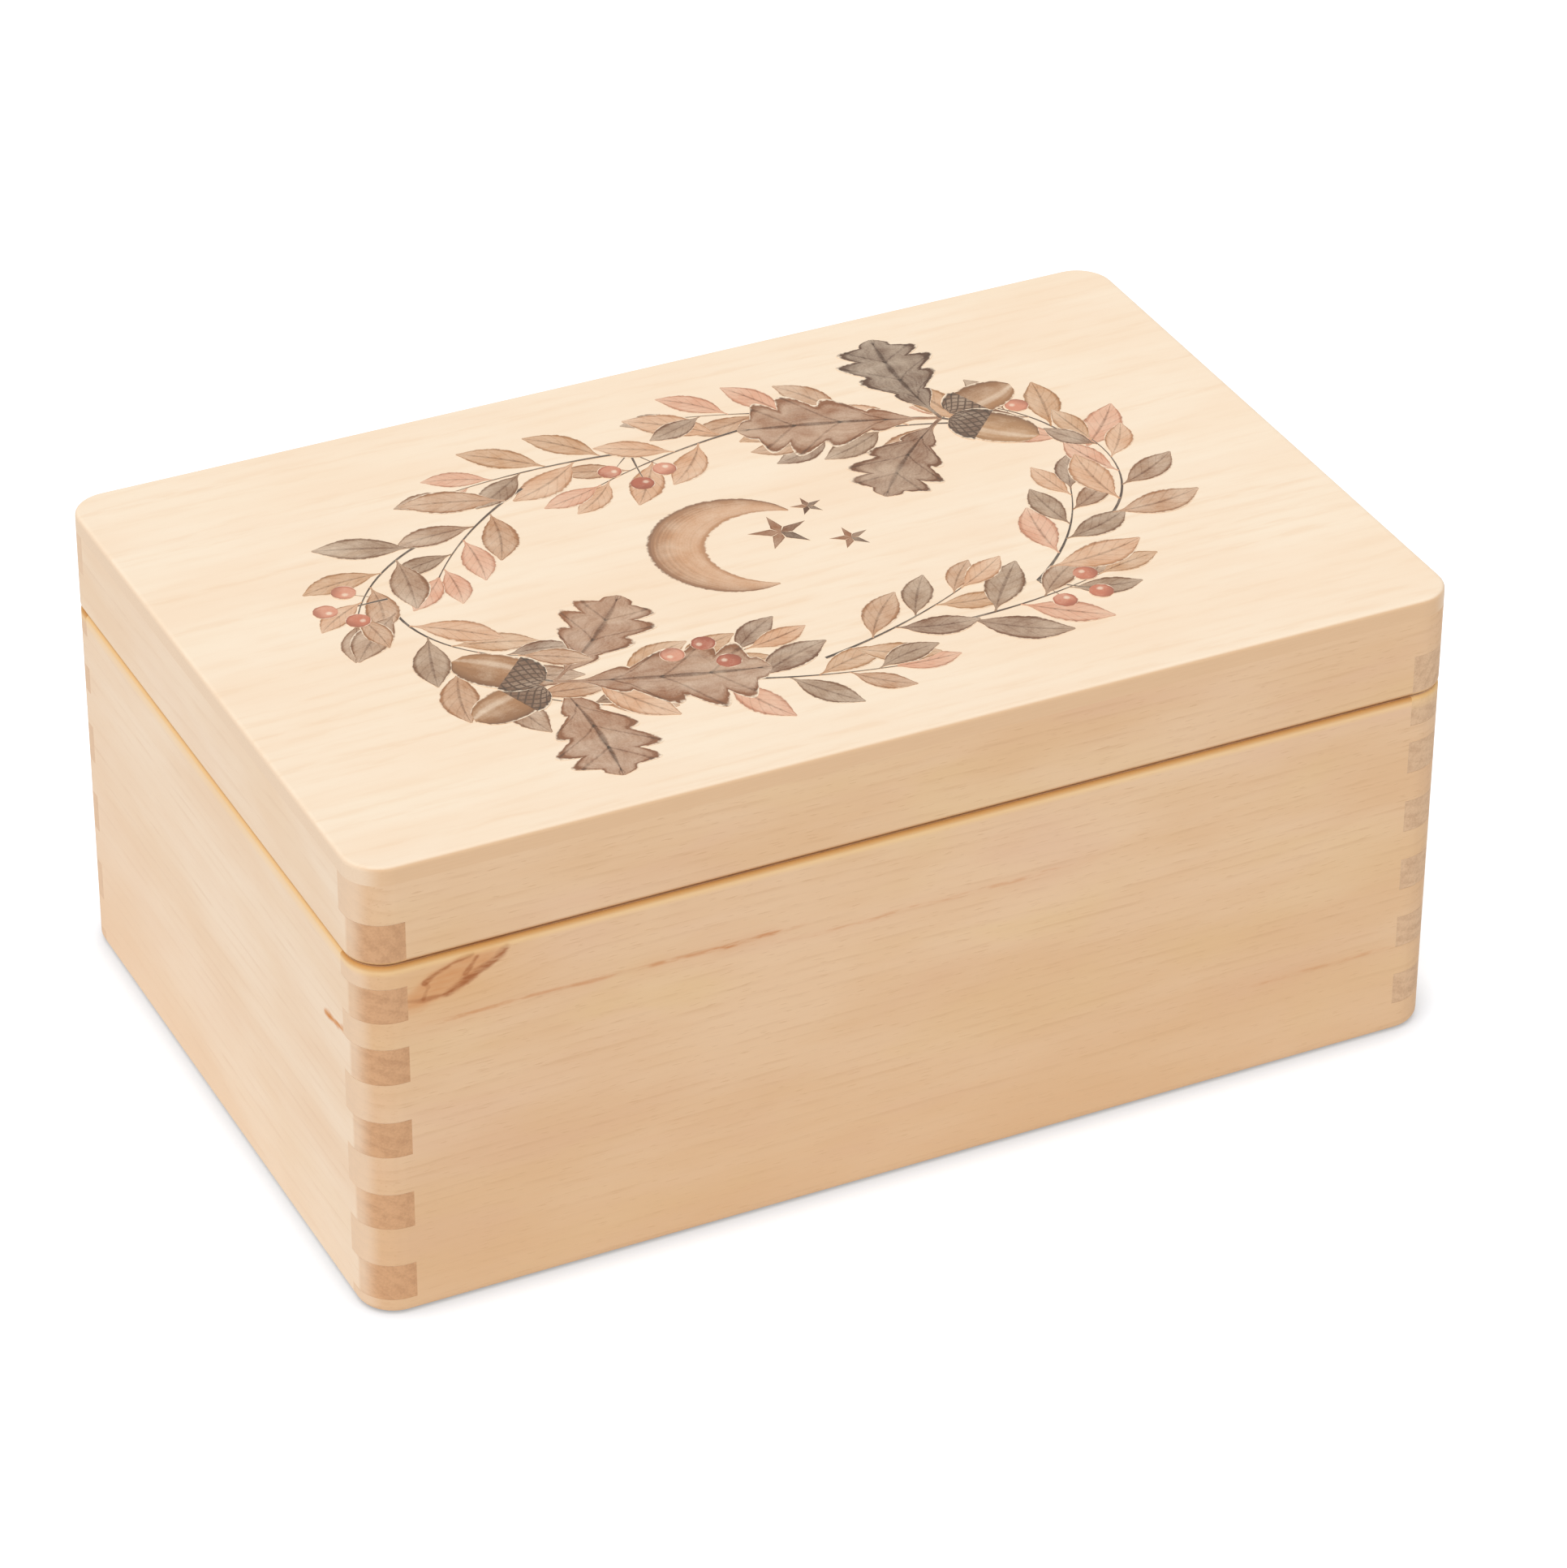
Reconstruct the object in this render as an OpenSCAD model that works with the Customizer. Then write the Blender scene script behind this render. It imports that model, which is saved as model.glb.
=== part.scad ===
// Keepsake box of solid wood: finger jointed walls with rounded upright corners, a lid with
// the same joints and a panel glued on top, and two small butt hinges let into the back rims.
// The origin is on the ground under the middle of the box, with the front towards -Y.

/* [Box] */
// Width of the box, left to right
box_w = 300; // [220:5:400]
// Depth of the box, front to back
box_d = 194; // [140:1:300]
// Height of the box with its lid shut
box_h = 131; // [105:1:200]
// Height of the lid, from its rim to its top
lid_h = 27.6; // [22:0.1:40]
// Thickness of the boards and rails
board_t = 12; // [11:0.5:16]
// Radius of the four upright corners
corner_r = 10; // [5:0.5:20]
// Gap between the rims of base and lid
seam_gap = 0.6; // [0.4:0.1:1.2]

/* [Panels] */
// Thickness of the panel glued on top of the lid
top_panel_t = 5; // [3:0.5:7]
// Thickness of the bottom panel
bottom_panel_t = 4; // [3:0.5:6]
// Height of the bottom panel above the ground
bottom_lift = 7; // [4:0.5:12]
// How far the bottom panel reaches into its groove
groove_reach = 5; // [3:0.5:7]
// Room round the bottom panel in its groove
groove_play = 0.1; // [0.05:0.05:0.3]

/* [Edges] */
// Rounding of the top edge of the lid
top_round = 1.2; // [0.5:0.1:3]
// Rounding of both rims along the seam
rim_round = 1; // [0.5:0.1:2]
// Rounding of the edge that the box stands on
foot_round = 2.5; // [0.5:0.1:4]
// Chamfer of the inner edge of both rims
inner_chamfer = 0.6; // [0.3:0.1:1.5]

/* [Finger joints at the left corners] */
// Height of a finger of the left board
left_finger_h = 10.2; // [8:0.1:13]
// Step from one finger to the next
left_pitch = 21.4; // [18:0.1:26]
// Height of the lowest finger above the ground
left_start = 4.6; // [4:0.1:12]
// Height of the last finger, next to the rim
left_last_h = 9.7; // [6:0.1:12]
// Distance from the rim down to the last finger
left_last_drop = 6.4; // [3:0.1:10]

/* [Finger joints at the right corners] */
// Height of a finger of the right board
right_finger_h = 9.1; // [7:0.1:12]
// Step from one finger to the next
right_pitch = 17.8; // [15:0.1:24]
// Height of the lowest finger above the ground
right_start = 9; // [6:0.1:16]
// Height of the last finger, cut through by the rim
right_last_h = 8.4; // [5:0.1:10]

/* [All finger joints] */
// Height of the side rails' fingers in the lid
lid_finger_h = 11.4; // [8:0.1:13]
// Least wood left between two fingers
finger_space = 4; // [3:0.5:6]
// Glue line above and below each finger
glue_line = 0.06; // [0.02:0.02:0.2]

/* [Hinges] */
// Length of a hinge
hinge_l = 36; // [26:1:50]
// Distance from the side of the box to the middle of a hinge
hinge_from_side = 62; // [45:1:90]
// Number of knuckles on a hinge, an odd number
knuckles = 5; // [3:2:7]
// Diameter of the hinge barrel
barrel_d = 4.8; // [4.2:0.1:5]
// Diameter of the hinge pin
pin_d = 2; // [1.4:0.1:2.4]
// Thickness of the hinge leaves
leaf_t = 1; // [0.8:0.1:1.3]
// Wood between a leaf and the inner face of its board
leaf_margin = 1; // [0.5:0.1:1.5]
// How far the barrel lies in from the back face
barrel_recess = 0.2; // [0.1:0.1:0.4]
// Angle at which the bevelled back rims meet and stop the lid
open_limit = 100; // [92:1:108]

/* [Hinge screws] */
// Diameter of a screw head
screw_head_d = 4; // [3.2:0.1:4.2]
// Diameter of a screw shank
screw_d = 2.4; // [1.8:0.1:2.6]
// Length of a screw
screw_l = 12; // [8:1:15]
// Width of the cross recess
recess_w = 0.6; // [0.4:0.1:0.8]

/* [Hidden] */

$fn = 64;
left = -1;
right = 1;
front = -1;
back = 1;
wood = "burlywood";
panel_wood = "wheat";
brass = "darkgoldenrod";

// How far a blank or a cutter reaches past the face that it has to clear
over = 1;
base_h = box_h - lid_h - seam_gap;
lid_z = base_h + seam_gap;
rail_top = box_h - top_panel_t;
inner_w = box_w - 2 * board_t;
inner_d = box_d - 2 * board_t;

// The hinge axis lies level with the middle of the seam, just inside the back face
seam_z = base_h + seam_gap / 2;
axis_inset = barrel_d / 2 + barrel_recess;
axis_y = box_d / 2 - axis_inset;
hinge_x = box_w / 2 - hinge_from_side;
// Clearances of the hinge: pin in knuckle, knuckle end to knuckle end, knuckle to wood or
// leaf, leaf to the ends and to the inner edge of its pocket, screw in its hole, and between
// the bevels when the lid is fully open
pin_play = 0.05;
knuckle_gap = 0.2;
barrel_play = 0.3;
pocket_play = 0.8;
edge_play = 0.2;
screw_play = 0.04;
stop_gap = 0.1;
leaf_w = board_t - axis_inset - leaf_margin;
leaf_z = seam_gap / 2 + leaf_t;
knuckle_l = (hinge_l - (knuckles - 1) * knuckle_gap) / knuckles;
pin_head_d = (barrel_d + pin_d) / 2;
pin_head_t = pin_d / 4;
screw_y = (barrel_d / 2 + barrel_play + leaf_w) / 2;
screw_x = hinge_l / 4;
screw_tip = screw_d;
recess_depth = leaf_t * 0.6;
bevel_reach = 3 * axis_inset;

left_spans = finger_spans(left_start, left_finger_h, left_pitch, left_last_h, left_last_drop);
right_spans = finger_spans(right_start, right_finger_h, right_pitch, right_last_h, 0);
lid_spans = [[lid_z - over, lid_z + lid_finger_h]];

// The lowest and highest point of each finger of a side board: fingers a pitch apart from the
// ground up, and a last one set from the rim, which runs out through the rim where drop is 0
function finger_spans(start, height, pitch, last_h, drop) =
    let (
        last = base_h - drop - last_h,
        count = 1 + floor((last - finger_space - start - height) / pitch)
    )
    concat(
        [for (i = [0 : count - 1]) [start + i * pitch, start + i * pitch + height]],
        [[last, drop > 0 ? last + last_h : base_h + over]]
    );

// ---- The outside of the box and of the lid ----

// Section through an outer edge, from the centre of the corner rounding outwards
module edge_section(height, low_round, high_round) {
    difference() {
        square([corner_r, height]);
        edge_waste(low_round);
        translate([0, height])
            mirror([0, 1])
                edge_waste(high_round);
    }
}

// What a rounding takes away from the lower outer corner of the section
module edge_waste(round) {
    translate([corner_r - round, 0])
        difference() {
            translate([0, -over])
                square([round + over, round + over]);
            translate([0, round])
                circle(r = round);
        }
}

// A solid block with the plan of the box, whose edge section runs round its outside
module block(z, height, low_round, high_round) {
    straight_w = box_w - 2 * corner_r;
    straight_d = box_d - 2 * corner_r;
    translate([0, 0, z]) {
        translate([-straight_w / 2, -straight_d / 2, 0])
            cube([straight_w, straight_d, height]);
        for (turn = [0, 180])
            rotate([0, 0, turn]) {
                translate([straight_w / 2, straight_d / 2, 0])
                    rotate([90, 0, 0])
                        linear_extrude(straight_d)
                            edge_section(height, low_round, high_round);
                translate([-straight_w / 2, straight_d / 2, 0])
                    rotate([90, 0, 90])
                        linear_extrude(straight_w)
                            edge_section(height, low_round, high_round);
                translate([straight_w / 2, straight_d / 2, 0])
                    rotate_extrude(angle = 90)
                        edge_section(height, low_round, high_round);
                translate([-straight_w / 2, straight_d / 2, 0])
                    rotate([0, 0, 90])
                        rotate_extrude(angle = 90)
                            edge_section(height, low_round, high_round);
            }
    }
}

module base_block() {
    block(0, base_h, foot_round, rim_round);
}

module lid_block() {
    block(lid_z, lid_h, rim_round, top_round);
}

// ---- Boards and their finger joints ----

// The fingers of one side board, at its front and its back end
module fingers(side, spans, play = 0) {
    size = board_t + over;
    for (span = spans, end = [front, back])
        translate([side * (box_w / 2 + over - size / 2), end * (box_d / 2 + over - size / 2),
                   (span[0] + span[1]) / 2])
            cube([size, size, span[1] - span[0] + 2 * play], center = true);
}

// Blank of a front or back board, from low to high, notched for the fingers of the side boards
module long_blank(end, low, high, spans_left, spans_right) {
    difference() {
        translate([0, end * (box_d - board_t + over) / 2, (low + high) / 2])
            cube([box_w + 2 * over, board_t + over, high - low], center = true);
        fingers(left, spans_left, glue_line);
        fingers(right, spans_right, glue_line);
    }
}

// Blank of a side board: the stretch between front and back, and its fingers
module side_blank(side, low, high, spans) {
    translate([side * (box_w - board_t + over) / 2, 0, (low + high) / 2])
        cube([board_t + over, inner_d, high - low], center = true);
    fingers(side, spans);
}

// The space inside the rim, wider by the chamfer at the rim; face is +1 where the rim is on
// top, as on the base, and -1 where it is below, as on the lid
module rim_chamfer(z, face) {
    wide = inner_chamfer + over;
    translate([0, 0, z])
        mirror([0, 0, face > 0 ? 0 : 1])
            intersection() {
                rotate([90, 0, 0])
                    linear_extrude(box_d + 2 * over, center = true)
                        chamfer_section(inner_w, wide);
                rotate([90, 0, 90])
                    linear_extrude(box_w + 2 * over, center = true)
                        chamfer_section(inner_d, wide);
            }
}

module chamfer_section(width, wide) {
    polygon([
        [-width / 2, -inner_chamfer],
        [width / 2, -inner_chamfer],
        [width / 2 + wide, over],
        [-width / 2 - wide, over]
    ]);
}

// The space that the bottom panel takes up in the boards, larger by play
module bottom_space(play = 0) {
    translate([0, 0, bottom_lift + bottom_panel_t / 2])
        cube([inner_w + 2 * (groove_reach + play), inner_d + 2 * (groove_reach + play),
              bottom_panel_t + 2 * play], center = true);
}

module base_long_board(end) {
    difference() {
        intersection() {
            base_block();
            long_blank(end, -over, base_h + over, left_spans, right_spans);
        }
        bottom_space(groove_play);
        rim_chamfer(base_h, 1);
    }
}

module base_side_board(side, spans) {
    difference() {
        intersection() {
            base_block();
            side_blank(side, -over, base_h + over, spans);
        }
        bottom_space(groove_play);
        rim_chamfer(base_h, 1);
        back_bevel();
    }
}

module lid_long_rail(end) {
    difference() {
        intersection() {
            lid_block();
            long_blank(end, lid_z - over, rail_top, lid_spans, lid_spans);
        }
        rim_chamfer(lid_z, -1);
    }
}

module lid_side_rail(side) {
    difference() {
        intersection() {
            lid_block();
            side_blank(side, lid_z - over, rail_top, lid_spans);
        }
        rim_chamfer(lid_z, -1);
        mirror_seam()
            back_bevel();
    }
}

// ---- Hinges, drawn about the hinge axis: base half below it, lid half mirrored above ----

module mirror_seam() {
    translate([0, 0, seam_z])
        mirror([0, 0, 1])
            translate([0, 0, -seam_z])
                children();
}

module at_axis(x = 0) {
    translate([x, axis_y, seam_z])
        children();
}

// A round bar along the axis, centred on it
module axle(d, length, x = 0) {
    translate([x - length / 2, 0, 0])
        rotate([0, 90, 0])
            cylinder(d = d, h = length);
}

// The bevel of the back rims, tilted by half the opening angle, so that the two bevels lie
// flat on each other when the lid is fully open
module back_bevel() {
    at_axis()
        rotate([-open_limit / 2, 0, 0])
            translate([-box_w / 2 - over, -bevel_reach, -stop_gap / 2])
                cube([box_w + 2 * over, 2 * bevel_reach, bevel_reach]);
}

function knuckle_x(i) = -hinge_l / 2 + knuckle_l / 2 + i * (knuckle_l + knuckle_gap);

// One leaf with its knuckles; first is 0 for the leaf with the outer knuckles and 1 for the
// leaf whose knuckles lie between them
module leaf(first) {
    difference() {
        union() {
            translate([-hinge_l / 2, -leaf_w, -leaf_z])
                cube([hinge_l, leaf_w, leaf_t]);
            for (i = [first : 2 : knuckles - 1])
                axle(barrel_d, knuckle_l, knuckle_x(i));
        }
        for (i = [1 - first : 2 : knuckles - 1])
            axle(barrel_d + 2 * barrel_play, knuckle_l + 2 * knuckle_gap, knuckle_x(i));
        axle(pin_d + 2 * pin_play, hinge_l + 2 * over);
        screws(screw_play);
    }
}

// The two countersunk screws of a leaf, larger all round by play where they are holes
module screws(play = 0) {
    for (x = [-screw_x, screw_x])
        translate([x, -screw_y, -seam_gap / 2])
            mirror([0, 0, 1])
                screw(play);
}

// A countersunk screw that points up, with the top of its head at the origin. Where it is
// drawn larger by play, as a hole, the countersink runs on past the face that it opens in
module screw(play) {
    head_r = screw_head_d / 2 + play;
    shank_r = screw_d / 2 + play;
    rise = play > 0 ? over : 0;
    rotate_extrude()
        polygon([
            [0, -rise],
            [head_r + rise, -rise],
            [shank_r, head_r - shank_r],
            [shank_r, screw_l - screw_tip],
            [0, screw_l + play]
        ]);
}

// The cross recess in a screw head
module cross_recess() {
    length = 0.6 * screw_head_d;
    for (turn = [0, 90])
        rotate([0, 0, turn])
            translate([-length / 2, -recess_w / 2, -over])
                cube([length, recess_w, over + recess_depth]);
}

module recessed_screws() {
    for (x = [-screw_x, screw_x])
        translate([x, -screw_y, -seam_gap / 2])
            mirror([0, 0, 1])
                difference() {
                    screw(0);
                    cross_recess();
                }
}

// What a hinge half takes out of the rim: the leaf's pocket, room for the barrel, screw holes
module hinge_pockets() {
    length = hinge_l + 2 * pocket_play;
    for (side = [left, right])
        at_axis(side * hinge_x) {
            translate([-length / 2, -leaf_w - edge_play, -leaf_z])
                cube([length, leaf_w + edge_play, leaf_z]);
            axle(barrel_d + 2 * barrel_play, length);
            screws(screw_play);
        }
}

module pin() {
    axle(pin_d, hinge_l);
    for (side = [left, right])
        axle(pin_head_d, pin_head_t, side * (hinge_l + pin_head_t) / 2);
}

// ---- The pieces ----

module base_front_board() {
    color(wood)
        base_long_board(front);
}

module base_back_board() {
    color(wood)
        difference() {
            base_long_board(back);
            back_bevel();
            hinge_pockets();
        }
}

module base_left_board() {
    color(wood)
        base_side_board(left, left_spans);
}

module base_right_board() {
    color(wood)
        base_side_board(right, right_spans);
}

module base_bottom_panel() {
    color(panel_wood)
        bottom_space();
}

module lid_front_rail() {
    color(wood)
        lid_long_rail(front);
}

module lid_back_rail() {
    color(wood)
        difference() {
            lid_long_rail(back);
            mirror_seam() {
                back_bevel();
                hinge_pockets();
            }
        }
}

module lid_left_rail() {
    color(wood)
        lid_side_rail(left);
}

module lid_right_rail() {
    color(wood)
        lid_side_rail(right);
}

module lid_top_panel() {
    color(panel_wood)
        intersection() {
            lid_block();
            translate([-box_w / 2 - over, -box_d / 2 - over, rail_top])
                cube([box_w + 2 * over, box_d + 2 * over, top_panel_t + over]);
        }
}

module hinge_base_leaf(side) {
    color(brass)
        at_axis(side * hinge_x)
            leaf(0);
}

module hinge_lid_leaf(side) {
    color(brass)
        at_axis(side * hinge_x)
            mirror([0, 0, 1])
                leaf(1);
}

module hinge_pin(side) {
    color(brass)
        at_axis(side * hinge_x)
            pin();
}

module base_hinge_screws() {
    color(brass)
        for (side = [left, right])
            at_axis(side * hinge_x)
                recessed_screws();
}

module lid_hinge_screws() {
    mirror_seam()
        base_hinge_screws();
}

base_front_board();
base_back_board();
base_left_board();
base_right_board();
base_bottom_panel();
lid_front_rail();
lid_back_rail();
lid_left_rail();
lid_right_rail();
lid_top_panel();
hinge_base_leaf(left);  // left_hinge_base_leaf
hinge_lid_leaf(left);  // left_hinge_lid_leaf
hinge_pin(left);  // left_hinge_pin
hinge_base_leaf(right);  // right_hinge_base_leaf
hinge_lid_leaf(right);  // right_hinge_lid_leaf
hinge_pin(right);  // right_hinge_pin
base_hinge_screws();
lid_hinge_screws();
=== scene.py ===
"""The looks of the keepsake box: bare pine boards with finger joints, and a printed lid."""

import math
import random

import bmesh
import bpy
from mathutils import Matrix, Vector


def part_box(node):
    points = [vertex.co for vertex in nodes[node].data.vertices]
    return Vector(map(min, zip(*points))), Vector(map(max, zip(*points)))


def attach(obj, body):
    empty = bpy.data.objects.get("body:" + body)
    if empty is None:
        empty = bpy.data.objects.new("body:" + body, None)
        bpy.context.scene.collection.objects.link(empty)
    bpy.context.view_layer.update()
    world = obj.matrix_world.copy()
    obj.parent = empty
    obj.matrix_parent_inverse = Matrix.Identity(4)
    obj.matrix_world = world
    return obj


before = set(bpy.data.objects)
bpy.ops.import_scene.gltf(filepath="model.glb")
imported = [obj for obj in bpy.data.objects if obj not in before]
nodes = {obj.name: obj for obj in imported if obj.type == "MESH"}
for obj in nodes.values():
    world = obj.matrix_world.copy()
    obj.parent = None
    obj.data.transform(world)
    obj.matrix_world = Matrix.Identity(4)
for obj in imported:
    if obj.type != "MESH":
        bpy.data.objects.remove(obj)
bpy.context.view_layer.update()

MM = 0.001
WHITE = (1, 1, 1, 1)


# ---- Heights in millimetres, taken from the frame ----

_, board_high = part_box("base_front_board")
_, lid_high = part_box("lid_top_panel")
rail_low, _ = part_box("lid_front_rail")
BASE_TOP = board_high.z / MM
LID_TOP = lid_high.z / MM
LID_BOTTOM = rail_low.z / MM


# ---- Camera ----

LENS = 146.08
SENSOR = 36.0
FAR_CLIP = 20
CAMERA_PLACE = Vector((-0.6058, -1.2529, 0.9526))
CAMERA_TURN = (57.297, -0.254, -25.963)


def add_camera():
    turn = [math.radians(degrees) for degrees in CAMERA_TURN]
    bpy.ops.object.camera_add(location=CAMERA_PLACE, rotation=turn)
    camera = bpy.context.object
    camera.data.lens = LENS
    camera.data.sensor_width = SENSOR
    camera.data.clip_end = FAR_CLIP
    bpy.context.scene.camera = camera


# ---- Shader maths ----


class Level:
    """A socket whose value changes over a surface. Arithmetic on it adds Math nodes."""

    def __init__(self, shading, socket):
        self.shading = shading
        self.socket = socket

    def maths(self, operation, *values):
        return self.shading.add("Math", {"operation": operation}, dict(enumerate(values)))

    def __add__(self, other):
        return self.maths("ADD", self, other)

    def __sub__(self, other):
        return self.maths("SUBTRACT", self, other)

    def __rsub__(self, other):
        return self.maths("SUBTRACT", other, self)

    def __mul__(self, other):
        return self.maths("MULTIPLY", self, other)

    def __truediv__(self, other):
        return self.maths("DIVIDE", self, other)

    def __abs__(self):
        return self.maths("ABSOLUTE", self)

    __radd__ = __add__
    __rmul__ = __mul__

    def fraction(self):
        return self.maths("FRACT", self)

    def floor(self):
        return self.maths("FLOOR", self)

    def root(self):
        return self.maths("SQRT", self)

    def least(self, other):
        return self.maths("MINIMUM", self, other)

    def most(self, other):
        return self.maths("MAXIMUM", self, other)

    def rise(self, start, end):
        """0 before start, 1 after end, with a smooth step between them."""
        settings = {"interpolation_type": "SMOOTHSTEP"}
        return self.shading.add("MapRange", settings, {0: self, 1: start, 2: end, 3: 0.0, 4: 1.0})

    def bump(self, low, high, soft):
        """1 between low and high, falling to 0 over soft on both sides."""
        return self.rise(low - soft, low) * (1 - self.rise(high, high + soft))


class Shading:
    """The shader nodes of one material, or of the world."""

    def __init__(self, tree):
        self.tree = tree
        tree.nodes.clear()

    def make(self, kind, settings=None, inputs=None):
        """Any node: its type, then its settings, then the values or links of its sockets."""
        made = self.tree.nodes.new("ShaderNode" + kind)
        for name, value in (settings or {}).items():
            if name == "steps":
                self.set_steps(made.color_ramp, value)
            else:
                setattr(made, name, value)
        for name, value in (inputs or {}).items():
            if isinstance(value, Level):
                self.tree.links.new(value.socket, made.inputs[name])
            else:
                made.inputs[name].default_value = value
        return made

    def add(self, kind, settings=None, inputs=None, output=0):
        return Level(self, self.make(kind, settings, inputs).outputs[output])

    @staticmethod
    def set_steps(ramp, colours):
        """Cuts a colour ramp into equal steps, one for each colour."""
        ramp.interpolation = "CONSTANT"
        while len(ramp.elements) < len(colours):
            ramp.elements.new(1.0)
        for number, colour in enumerate(colours):
            ramp.elements[number].position = number / len(colours)
            ramp.elements[number].color = colour


class Finish(Shading):
    """A material in the making."""

    def __init__(self, name):
        self.material = bpy.data.materials.new(name)
        self.material.use_nodes = True
        super().__init__(self.material.node_tree)

    def mix(self, factor, first, second):
        """Two colours mixed. They are the Mix node's sockets 6 and 7, and its output 2."""
        return self.add("Mix", {"data_type": "RGBA"}, {0: factor, 6: first, 7: second}, output=2)

    def split(self, vector):
        """The three parts of a vector socket."""
        parts = self.make("SeparateXYZ", inputs={0: vector})
        return [Level(self, out) for out in parts.outputs]

    def place(self):
        """Object coordinates in millimetres."""
        coordinates = self.make("TexCoord")
        return [part * (1 / MM) for part in self.split(Level(self, coordinates.outputs["Object"]))]

    def facing(self):
        """How squarely the surface faces along X, Y and Z, from 0 to 1."""
        coordinates = self.make("TexCoord")
        return [abs(part) for part in self.split(Level(self, coordinates.outputs["Normal"]))]

    def noise(self, x, y, z, detail=2.0, roughness=0.5, warp=0.0):
        inputs = {
            "Vector": self.add("CombineXYZ", inputs={0: x, 1: y, 2: z}),
            "Scale": 1.0,
            "Detail": detail,
            "Roughness": roughness,
            "Distortion": warp,
        }
        return self.add("TexNoise", inputs=inputs)

    def chance(self, number):
        """A random level from 0 to 1 for each number."""
        return self.add("TexWhiteNoise", {"noise_dimensions": "1D"}, {"W": number})

    def surface(self, colour, roughness, height, depth, constants):
        """Closes the material. height raises the surface by as much as depth, in metres."""
        bumps = {"Height": height, "Strength": 1.0, "Distance": depth}
        inputs = {"Base Color": colour, "Roughness": roughness, **constants}
        inputs["Normal"] = self.add("Bump", inputs=bumps)
        shader = self.add("BsdfPrincipled", inputs=inputs)
        self.make("OutputMaterial", inputs={"Surface": shader})
        return self.material


def linear(display):
    """The light that a display value from 0 to 1 stands for."""
    if display <= 0.04045:
        return display / 12.92
    return ((display + 0.055) / 1.055) ** 2.4


def tone(red, green, blue):
    """A colour given in display values from 0 to 255."""
    return linear(red / 255), linear(green / 255), linear(blue / 255), 1.0


def halfway(first, second):
    """The colour halfway between two colours."""
    return tuple((a + b) / 2 for a, b in zip(first, second))


# ---- Wood ----

# Bare pine: early wood in two tones, and the tone of its lines of late wood. cloud and dash
# say how strong its clouds and short dashes are. The three palettes are partly the pine's own
# tone and partly painted shade and light by the way a face turns: darkest and warmest on the
# boards at the front and back, paler on the side boards, palest on the lid's top and the bottom.
# A rim has bands of painted light and shade along its outer edge, where the seam between lid and
# base glows amber and darkens: how far from the rim a band starts to fade and ends, its colour,
# and its strength.
FRONT = {
    "pale": tone(240, 205, 168),
    "deep": tone(234, 194, 152),
    "line": tone(202, 156, 112),
    "cloud": 0.3,
    "dash": 0.3,
    # painted highlight in a pale band under the base rim, then painted amber glow and shade in the
    # seam
    "base_rim_light_and_shade": [(1.2, 3.2, tone(255, 216, 156), 0.6), (0.2, 1.7, tone(206, 143, 66), 0.8)],
    # painted brown shade under the lower edge of the lid
    "lid_rim_light_and_shade": [(0.2, 1.3, tone(184, 116, 34), 0.65)],
}
SIDE = {
    "pale": tone(249, 226, 200),
    "deep": tone(244, 215, 184),
    "line": tone(224, 186, 150),
    "cloud": 0.08,
    "dash": 0.12,
    # painted highlight in a pale band under the base rim, then painted amber glow in the seam
    "base_rim_light_and_shade": [(1.5, 4.5, tone(252, 214, 160), 0.5), (0.2, 1.6, tone(238, 190, 116), 0.6)],
    # painted amber shade under the lower edge of the lid
    "lid_rim_light_and_shade": [(0.3, 1.2, tone(230, 184, 118), 0.6)],
}
TOP = {
    "pale": tone(254, 235, 210),
    "deep": tone(252, 228, 200),
    "line": tone(245, 214, 180),
    "cloud": 0.04,
    "dash": 0.12,
}
# Mean tones of the front and side palettes, used as painted shade and light on faces that turn to
# the front or to the sides
FRONT_MEAN = halfway(FRONT["pale"], FRONT["deep"])
SIDE_MEAN = halfway(SIDE["pale"], SIDE["deep"])
# Painted shade towards the foot of the front and left boards
FRONT_FOOT_SHADE = tone(228, 188, 144)
SIDE_FOOT_SHADE = tone(240, 204, 168)
END = tone(220, 172, 130)
END_PALE = tone(228, 192, 156)
END_DARK = tone(150, 100, 66)
PINKISH = tone(232, 188, 160)
YELLOWISH = tone(238, 206, 152)
BARK = tone(160, 84, 34)
ORANGE_BARK = tone(214, 132, 40)
RESIN = tone(204, 126, 66)
KNOT_HEART = tone(218, 152, 98)
KNOT_HALO = tone(230, 178, 118)

# Sizes of the wood's features in millimetres: along the grain, up, and through the board
SWEEP = (210, 60, 60)
RIPPLE = (55, 9, 9)
RING_BREAKS = (13, 1.8, 1.8)
MOTTLE = (80, 22, 22)
CLOUD = (70, 26, 26)
FIBRE = (11, 0.5, 0.5)
DASH = (5, 0.5, 0.5)
PORES = (60, 0.6, 0.6)
BLOTCH = (60, 3.0, 3.0)
STREAK_DRIFT = (38, 40, 40)
STREAK_BREAKS = (6, 1.2, 40)
STROKE_EDGE = (5, 2.4, 9)
STROKE_BREAKS = (5, 1.1, 9)
KNOT_EDGE = (9, 5, 5)
KNOT_FIBRE = (7, 1.2, 1.2)
KNOT_BARK = (8, 3.2, 3.2)

# How far along and up the next seed lies in the wood
SEED_ALONG = 311.0
SEED_UP = 17.0

ALONG_X = 0
ALONG_Y = 1
GRAIN_DEPTH = 0.00005


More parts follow.
